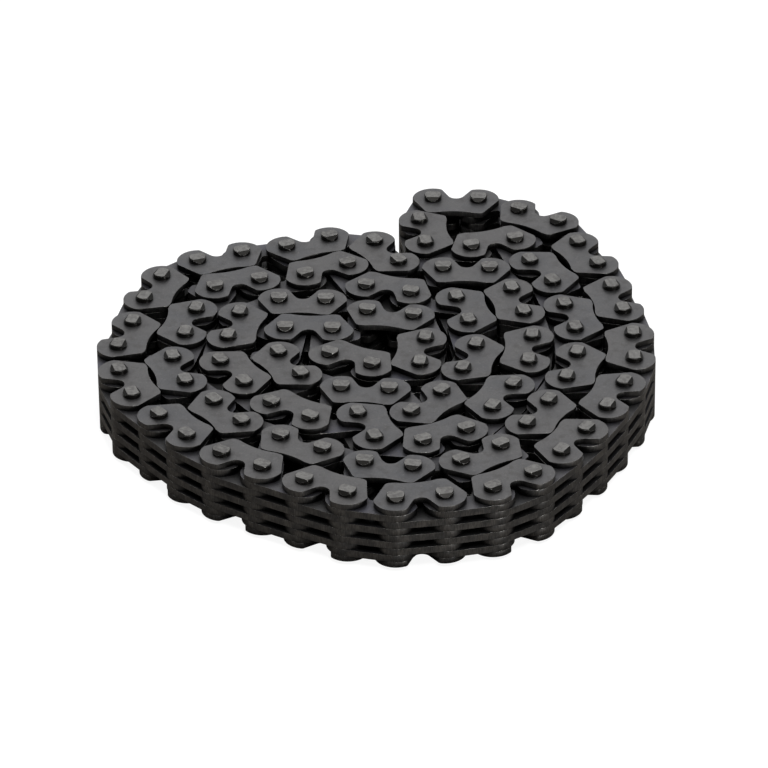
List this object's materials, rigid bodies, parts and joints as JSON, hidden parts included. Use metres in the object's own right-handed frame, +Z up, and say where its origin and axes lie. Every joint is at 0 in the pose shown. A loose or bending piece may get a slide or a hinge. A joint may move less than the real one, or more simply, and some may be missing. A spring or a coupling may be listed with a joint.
{
  "type": "inverted tooth chain",
  "caption": "Endless inverted-tooth (silent) drive chain of laminated steel plates on pins, doubled flat and rolled into a coil lying on its side.",
  "frame": {"origin": "on the plane under the lower pin ends, below the middle of the coil's bounding box", "axes": "+Z up, along every pin; the coil lies flat in XY, with its outer fold towards +X and +Y"},
  "size_m": [0.0746, 0.083, 0.0101],
  "materials": {
    "plate_steel": "blackened by heat treatment, thin oil film, burnished edges",
    "pin_steel": "dark, with bright worn ends"
  },
  "bodies": {
    "coil": {"coil_upper_guide_plates": "plate_steel", "coil_lower_guide_plates": "plate_steel", "coil_fixed_plates_a": "plate_steel", "coil_fixed_plates_b": "plate_steel", "coil_fixed_plates_c": "plate_steel", "coil_turning_plates_a": "plate_steel", "coil_turning_plates_b": "plate_steel", "coil_turning_plates_c": "plate_steel", "coil_turning_plates_d": "plate_steel", "coil_pins": "pin_steel"},
    "outer_guide_link_01": {"outer_guide_link_01": "plate_steel"},
    "outer_turning_link_02": {"outer_turning_link_02": "plate_steel"},
    "outer_guide_link_03": {"outer_guide_link_03": "plate_steel"},
    "outer_turning_link_04": {"outer_turning_link_04": "plate_steel"},
    "outer_guide_link_05": {"outer_guide_link_05": "plate_steel"},
    "outer_turning_link_06": {"outer_turning_link_06": "plate_steel"},
    "outer_guide_link_07": {"outer_guide_link_07": "plate_steel"},
    "outer_turning_link_08": {"outer_turning_link_08": "plate_steel"},
    "outer_guide_link_09": {"outer_guide_link_09": "plate_steel"},
    "outer_turning_link_10": {"outer_turning_link_10": "plate_steel"},
    "outer_guide_link_11": {"outer_guide_link_11": "plate_steel"},
    "outer_turning_link_12": {"outer_turning_link_12": "plate_steel"},
    "outer_guide_link_13": {"outer_guide_link_13": "plate_steel"},
    "outer_turning_link_14": {"outer_turning_link_14": "plate_steel"},
    "outer_guide_link_15": {"outer_guide_link_15": "plate_steel"},
    "outer_turning_link_16": {"outer_turning_link_16": "plate_steel"},
    "outer_guide_link_17": {"outer_guide_link_17": "plate_steel"},
    "outer_turning_link_18": {"outer_turning_link_18": "plate_steel"},
    "outer_guide_link_19": {"outer_guide_link_19": "plate_steel"},
    "outer_turning_link_20": {"outer_turning_link_20": "plate_steel"},
    "outer_guide_link_21": {"outer_guide_link_21": "plate_steel"},
    "outer_turning_link_22": {"outer_turning_link_22": "plate_steel"},
    "outer_guide_link_23": {"outer_guide_link_23": "plate_steel"},
    "outer_turning_link_24": {"outer_turning_link_24": "plate_steel"},
    "outer_guide_link_25": {"outer_guide_link_25": "plate_steel"},
    "outer_turning_link_26": {"outer_turning_link_26": "plate_steel"},
    "outer_guide_link_27": {"outer_guide_link_27": "plate_steel"},
    "outer_turning_link_28": {"outer_turning_link_28": "plate_steel"},
    "outer_guide_link_29": {"outer_guide_link_29": "plate_steel"},
    "outer_turning_link_30": {"outer_turning_link_30": "plate_steel"},
    "fold_turning_link_01": {"fold_turning_link_01": "plate_steel"},
    "fold_guide_link_02": {"fold_guide_link_02": "plate_steel"},
    "fold_turning_link_03": {"fold_turning_link_03": "plate_steel"},
    "fold_guide_link_04": {"fold_guide_link_04": "plate_steel"},
    "fold_turning_link_05": {"fold_turning_link_05": "plate_steel"},
    "fold_guide_link_06": {"fold_guide_link_06": "plate_steel"},
    "fold_turning_link_07": {"fold_turning_link_07": "plate_steel"},
    "fold_guide_link_08": {"fold_guide_link_08": "plate_steel"},
    "fold_turning_link_09": {"fold_turning_link_09": "plate_steel"},
    "fold_guide_link_10": {"fold_guide_link_10": "plate_steel"},
    "fold_turning_link_11": {"fold_turning_link_11": "plate_steel"},
    "fold_guide_link_12": {"fold_guide_link_12": "plate_steel"},
    "fold_turning_link_13": {"fold_turning_link_13": "plate_steel"},
    "fold_guide_link_14": {"fold_guide_link_14": "plate_steel"},
    "fold_turning_link_15": {"fold_turning_link_15": "plate_steel"},
    "fold_guide_link_16": {"fold_guide_link_16": "plate_steel"}
  },
  "joints": [
    {"name": "outer_pivot_01", "type": "hinge", "parent": "coil", "child": "outer_guide_link_01", "pos_m": [-0.00662, 0.02794, 0.00505], "axis": [0, 0, -1], "range_deg": [0, 10]},
    {"name": "outer_pivot_02", "type": "hinge", "parent": "outer_guide_link_01", "child": "outer_turning_link_02", "pos_m": [-0.01246, 0.02546, 0.00505], "axis": [0, 0, -1], "range_deg": [0, 10]},
    {"name": "outer_pivot_03", "type": "hinge", "parent": "outer_turning_link_02", "child": "outer_guide_link_03", "pos_m": [-0.01863, 0.02393, 0.00505], "axis": [0, 0, -1], "range_deg": [0, 10]},
    {"name": "outer_pivot_04", "type": "hinge", "parent": "outer_guide_link_03", "child": "outer_turning_link_04", "pos_m": [-0.02461, 0.0218, 0.00505], "axis": [0, 0, -1], "range_deg": [0, 10]},
    {"name": "outer_pivot_05", "type": "hinge", "parent": "outer_turning_link_04", "child": "outer_guide_link_05", "pos_m": [-0.02936, 0.01759, 0.00505], "axis": [0, 0, -1], "range_deg": [0, 10]},
    {"name": "outer_pivot_06", "type": "hinge", "parent": "outer_guide_link_05", "child": "outer_turning_link_06", "pos_m": [-0.03147, 0.0116, 0.00505], "axis": [0, 0, -1], "range_deg": [0, 10]},
    {"name": "outer_pivot_07", "type": "hinge", "parent": "outer_turning_link_06", "child": "outer_guide_link_07", "pos_m": [-0.03278, 0.00538, 0.00505], "axis": [0, 0, -1], "range_deg": [0, 10]},
    {"name": "outer_pivot_08", "type": "hinge", "parent": "outer_guide_link_07", "child": "outer_turning_link_08", "pos_m": [-0.03445, -0.00074, 0.00505], "axis": [0, 0, -1], "range_deg": [0, 10]},
    {"name": "outer_pivot_09", "type": "hinge", "parent": "outer_turning_link_08", "child": "outer_guide_link_09", "pos_m": [-0.034, -0.00707, 0.00505], "axis": [0, 0, -1], "range_deg": [0, 10]},
    {"name": "outer_pivot_10", "type": "hinge", "parent": "outer_guide_link_09", "child": "outer_turning_link_10", "pos_m": [-0.03204, -0.01312, 0.00505], "axis": [0, 0, -1], "range_deg": [0, 10]},
    {"name": "outer_pivot_11", "type": "hinge", "parent": "outer_turning_link_10", "child": "outer_guide_link_11", "pos_m": [-0.02826, -0.01821, 0.00505], "axis": [0, 0, -1], "range_deg": [0, 10]},
    {"name": "outer_pivot_12", "type": "hinge", "parent": "outer_guide_link_11", "child": "outer_turning_link_12", "pos_m": [-0.02441, -0.02327, 0.00505], "axis": [0, 0, -1], "range_deg": [0, 10]},
    {"name": "outer_pivot_13", "type": "hinge", "parent": "outer_turning_link_12", "child": "outer_guide_link_13", "pos_m": [-0.01975, -0.02758, 0.00505], "axis": [0, 0, -1], "range_deg": [0, 10]},
    {"name": "outer_pivot_14", "type": "hinge", "parent": "outer_guide_link_13", "child": "outer_turning_link_14", "pos_m": [-0.01439, -0.03099, 0.00505], "axis": [0, 0, -1], "range_deg": [0, 10]},
    {"name": "outer_pivot_15", "type": "hinge", "parent": "outer_turning_link_14", "child": "outer_guide_link_15", "pos_m": [-0.0089, -0.03417, 0.00505], "axis": [0, 0, -1], "range_deg": [0, 10]},
    {"name": "outer_pivot_16", "type": "hinge", "parent": "outer_guide_link_15", "child": "outer_turning_link_16", "pos_m": [-0.00332, -0.03721, 0.00505], "axis": [0, 0, -1], "range_deg": [0, 10]},
    {"name": "outer_pivot_17", "type": "hinge", "parent": "outer_turning_link_16", "child": "outer_guide_link_17", "pos_m": [0.00286, -0.03867, 0.00505], "axis": [0, 0, -1], "range_deg": [0, 10]},
    {"name": "outer_pivot_18", "type": "hinge", "parent": "outer_guide_link_17", "child": "outer_turning_link_18", "pos_m": [0.00914, -0.03773, 0.00505], "axis": [0, 0, -1], "range_deg": [0, 10]},
    {"name": "outer_pivot_19", "type": "hinge", "parent": "outer_turning_link_18", "child": "outer_guide_link_19", "pos_m": [0.01532, -0.03631, 0.00505], "axis": [0, 0, -1], "range_deg": [0, 10]},
    {"name": "outer_pivot_20", "type": "hinge", "parent": "outer_guide_link_19", "child": "outer_turning_link_20", "pos_m": [0.02053, -0.03268, 0.00505], "axis": [0, 0, -1], "range_deg": [0, 10]},
    {"name": "outer_pivot_21", "type": "hinge", "parent": "outer_turning_link_20", "child": "outer_guide_link_21", "pos_m": [0.02427, -0.02754, 0.00505], "axis": [0, 0, -1], "range_deg": [0, 10]},
    {"name": "outer_pivot_22", "type": "hinge", "parent": "outer_guide_link_21", "child": "outer_turning_link_22", "pos_m": [0.02765, -0.02216, 0.00505], "axis": [0, 0, -1], "range_deg": [0, 10]},
    {"name": "outer_pivot_23", "type": "hinge", "parent": "outer_turning_link_22", "child": "outer_guide_link_23", "pos_m": [0.03049, -0.01649, 0.00505], "axis": [0, 0, -1], "range_deg": [0, 10]},
    {"name": "outer_pivot_24", "type": "hinge", "parent": "outer_guide_link_23", "child": "outer_turning_link_24", "pos_m": [0.03291, -0.01062, 0.00505], "axis": [0, 0, -1], "range_deg": [0, 10]},
    {"name": "outer_pivot_25", "type": "hinge", "parent": "outer_turning_link_24", "child": "outer_guide_link_25", "pos_m": [0.03443, -0.00445, 0.00505], "axis": [0, 0, -1], "range_deg": [0, 10]},
    {"name": "outer_pivot_26", "type": "hinge", "parent": "outer_guide_link_25", "child": "outer_turning_link_26", "pos_m": [0.03445, 0.0019, 0.00505], "axis": [0, 0, -1], "range_deg": [0, 10]},
    {"name": "outer_pivot_27", "type": "hinge", "parent": "outer_turning_link_26", "child": "outer_guide_link_27", "pos_m": [0.03329, 0.00814, 0.00505], "axis": [0, 0, -1], "range_deg": [0, 10]},
    {"name": "outer_pivot_28", "type": "hinge", "parent": "outer_guide_link_27", "child": "outer_turning_link_28", "pos_m": [0.03187, 0.01433, 0.00505], "axis": [0, 0, -1], "range_deg": [0, 10]},
    {"name": "outer_pivot_29", "type": "hinge", "parent": "outer_turning_link_28", "child": "outer_guide_link_29", "pos_m": [0.03019, 0.02046, 0.00505], "axis": [0, 0, -1], "range_deg": [0, 10]},
    {"name": "outer_pivot_30", "type": "hinge", "parent": "outer_guide_link_29", "child": "outer_turning_link_30", "pos_m": [0.0276, 0.02625, 0.00505], "axis": [0, 0, -1], "range_deg": [0, 10]},
    {"name": "fold_pivot_01", "type": "hinge", "parent": "coil", "child": "fold_turning_link_01", "pos_m": [0.01642, -0.02599, 0.00505], "axis": [0, 0, -1], "range_deg": [0, 5]},
    {"name": "fold_pivot_02", "type": "hinge", "parent": "fold_turning_link_01", "child": "fold_guide_link_02", "pos_m": [0.01991, -0.02068, 0.00505], "axis": [0, 0, -1], "range_deg": [0, 5]},
    {"name": "fold_pivot_03", "type": "hinge", "parent": "fold_guide_link_02", "child": "fold_turning_link_03", "pos_m": [0.02286, -0.01506, 0.00505], "axis": [0, 0, -1], "range_deg": [0, 5]},
    {"name": "fold_pivot_04", "type": "hinge", "parent": "fold_turning_link_03", "child": "fold_guide_link_04", "pos_m": [0.02532, -0.0092, 0.00505], "axis": [0, 0, -1], "range_deg": [0, 5]},
    {"name": "fold_pivot_05", "type": "hinge", "parent": "fold_guide_link_04", "child": "fold_turning_link_05", "pos_m": [0.02687, -0.00305, 0.00505], "axis": [0, 0, -1], "range_deg": [0, 5]},
    {"name": "fold_pivot_06", "type": "hinge", "parent": "fold_turning_link_05", "child": "fold_guide_link_06", "pos_m": [0.02674, 0.0033, 0.00505], "axis": [0, 0, -1], "range_deg": [0, 5]},
    {"name": "fold_pivot_07", "type": "hinge", "parent": "fold_guide_link_06", "child": "fold_turning_link_07", "pos_m": [0.02545, 0.00952, 0.00505], "axis": [0, 0, -1], "range_deg": [0, 5]},
    {"name": "fold_pivot_08", "type": "hinge", "parent": "fold_turning_link_07", "child": "fold_guide_link_08", "pos_m": [0.02392, 0.01568, 0.00505], "axis": [0, 0, -1], "range_deg": [0, 5]},
    {"name": "fold_pivot_09", "type": "hinge", "parent": "fold_guide_link_08", "child": "fold_turning_link_09", "pos_m": [0.02093, 0.02129, 0.00505], "axis": [0, 0, 1], "range_deg": [0, 5]},
    {"name": "fold_pivot_10", "type": "hinge", "parent": "fold_turning_link_09", "child": "fold_guide_link_10", "pos_m": [0.01896, 0.02732, 0.00505], "axis": [0, 0, 1], "range_deg": [0, 5]},
    {"name": "fold_pivot_11", "type": "hinge", "parent": "fold_guide_link_10", "child": "fold_turning_link_11", "pos_m": [0.01292, 0.02538, 0.00505], "axis": [0, 0, 1], "range_deg": [0, 5]},
    {"name": "fold_pivot_12", "type": "hinge", "parent": "fold_turning_link_11", "child": "fold_guide_link_12", "pos_m": [0.00664, 0.02633, 0.00505], "axis": [0, 0, 1], "range_deg": [0, 5]},
    {"name": "fold_pivot_13", "type": "hinge", "parent": "fold_guide_link_12", "child": "fold_turning_link_13", "pos_m": [0.00574, 0.03261, 0.00505], "axis": [0, 0, 1], "range_deg": [0, 5]},
    {"name": "fold_pivot_14", "type": "hinge", "parent": "fold_turning_link_13", "child": "fold_guide_link_14", "pos_m": [0.00765, 0.03867, 0.00505], "axis": [0, 0, 1], "range_deg": [0, 5]},
    {"name": "fold_pivot_15", "type": "hinge", "parent": "fold_guide_link_14", "child": "fold_turning_link_15", "pos_m": [0.01399, 0.03836, 0.00505], "axis": [0, 0, 1], "range_deg": [0, 5]},
    {"name": "fold_pivot_16", "type": "hinge", "parent": "fold_turning_link_15", "child": "fold_guide_link_16", "pos_m": [0.0196, 0.03539, 0.00505], "axis": [0, 0, 1], "range_deg": [0, 5]}
  ],
  "couplings": [
    {"joint": "outer_pivot_02", "follows": "outer_pivot_01", "ratio": 1},
    {"joint": "outer_pivot_03", "follows": "outer_pivot_01", "ratio": 1},
    {"joint": "outer_pivot_04", "follows": "outer_pivot_01", "ratio": 1},
    {"joint": "outer_pivot_05", "follows": "outer_pivot_01", "ratio": 1},
    {"joint": "outer_pivot_06", "follows": "outer_pivot_01", "ratio": 1},
    {"joint": "outer_pivot_07", "follows": "outer_pivot_01", "ratio": 1},
    {"joint": "outer_pivot_08", "follows": "outer_pivot_01", "ratio": 1},
    {"joint": "outer_pivot_09", "follows": "outer_pivot_01", "ratio": 1},
    {"joint": "outer_pivot_10", "follows": "outer_pivot_01", "ratio": 1},
    {"joint": "outer_pivot_11", "follows": "outer_pivot_01", "ratio": 1},
    {"joint": "outer_pivot_12", "follows": "outer_pivot_01", "ratio": 1},
    {"joint": "outer_pivot_13", "follows": "outer_pivot_01", "ratio": 1},
    {"joint": "outer_pivot_14", "follows": "outer_pivot_01", "ratio": 1},
    {"joint": "outer_pivot_15", "follows": "outer_pivot_01", "ratio": 1},
    {"joint": "outer_pivot_16", "follows": "outer_pivot_01", "ratio": 1},
    {"joint": "outer_pivot_17", "follows": "outer_pivot_01", "ratio": 1},
    {"joint": "outer_pivot_18", "follows": "outer_pivot_01", "ratio": 1},
    {"joint": "outer_pivot_19", "follows": "outer_pivot_01", "ratio": 1},
    {"joint": "outer_pivot_20", "follows": "outer_pivot_01", "ratio": 1},
    {"joint": "outer_pivot_21", "follows": "outer_pivot_01", "ratio": 1},
    {"joint": "outer_pivot_22", "follows": "outer_pivot_01", "ratio": 1},
    {"joint": "outer_pivot_23", "follows": "outer_pivot_01", "ratio": 1},
    {"joint": "outer_pivot_24", "follows": "outer_pivot_01", "ratio": 1},
    {"joint": "outer_pivot_25", "follows": "outer_pivot_01", "ratio": 1},
    {"joint": "outer_pivot_26", "follows": "outer_pivot_01", "ratio": 1},
    {"joint": "outer_pivot_27", "follows": "outer_pivot_01", "ratio": 1},
    {"joint": "outer_pivot_28", "follows": "outer_pivot_01", "ratio": 1},
    {"joint": "outer_pivot_29", "follows": "outer_pivot_01", "ratio": 1},
    {"joint": "outer_pivot_30", "follows": "outer_pivot_01", "ratio": 1},
    {"joint": "fold_pivot_01", "follows": "outer_pivot_01", "ratio": 0.5},
    {"joint": "fold_pivot_02", "follows": "outer_pivot_01", "ratio": 0.5},
    {"joint": "fold_pivot_03", "follows": "outer_pivot_01", "ratio": 0.5},
    {"joint": "fold_pivot_04", "follows": "outer_pivot_01", "ratio": 0.5},
    {"joint": "fold_pivot_05", "follows": "outer_pivot_01", "ratio": 0.5},
    {"joint": "fold_pivot_06", "follows": "outer_pivot_01", "ratio": 0.5},
    {"joint": "fold_pivot_07", "follows": "outer_pivot_01", "ratio": 0.5},
    {"joint": "fold_pivot_08", "follows": "outer_pivot_01", "ratio": 0.5},
    {"joint": "fold_pivot_09", "follows": "outer_pivot_01", "ratio": 0.5},
    {"joint": "fold_pivot_10", "follows": "outer_pivot_01", "ratio": 0.5},
    {"joint": "fold_pivot_11", "follows": "outer_pivot_01", "ratio": 0.5},
    {"joint": "fold_pivot_12", "follows": "outer_pivot_01", "ratio": 0.5},
    {"joint": "fold_pivot_13", "follows": "outer_pivot_01", "ratio": 0.5},
    {"joint": "fold_pivot_14", "follows": "outer_pivot_01", "ratio": 0.5},
    {"joint": "fold_pivot_15", "follows": "outer_pivot_01", "ratio": 0.5},
    {"joint": "fold_pivot_16", "follows": "outer_pivot_01", "ratio": 0.5}
  ]
}
